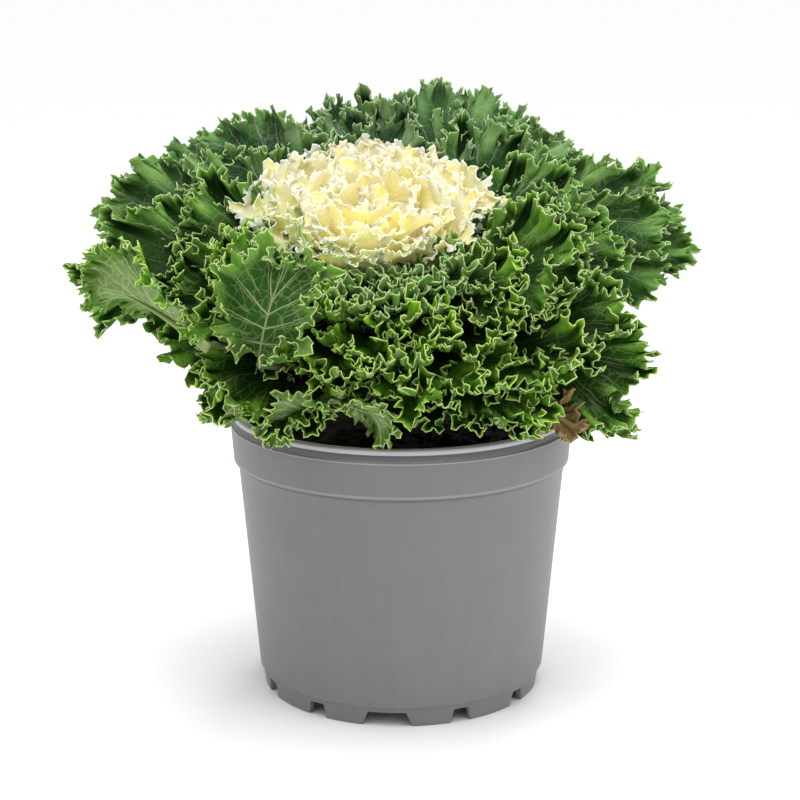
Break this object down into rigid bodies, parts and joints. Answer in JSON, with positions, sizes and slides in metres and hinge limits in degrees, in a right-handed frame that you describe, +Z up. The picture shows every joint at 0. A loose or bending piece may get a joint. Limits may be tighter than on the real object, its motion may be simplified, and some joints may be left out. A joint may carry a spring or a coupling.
{
  "type": "potted ornamental kale",
  "caption": "Ornamental kale: frilled green leaves round a cream heart, on a short stem in dark peat, in a tapered round nursery pot with a notched foot.",
  "frame": {"origin": "on the floor, under the axis of the pot, which is also the middle of the object's box seen from above", "axes": "+Z up along the axis of the pot; the crown of the plant leans towards -Y, which is the front; +X to the right of the front"},
  "size_m": [0.2591, 0.1864, 0.2483],
  "materials": {
    "pot_plastic": "moulded grey polypropylene, satin",
    "peat": "moist dark peat, crumbly and matt",
    "green_leaf": "waxy green kale leaf with paler veins and margin",
    "cream_leaf": "cream to yellow frilled kale leaf"
  },
  "bodies": {
    "root": {"pot": "pot_plastic", "peat": "peat", "leafy_stem": "green_leaf", "heart_leaves": "cream_leaf"}
  },
  "joints": []
}
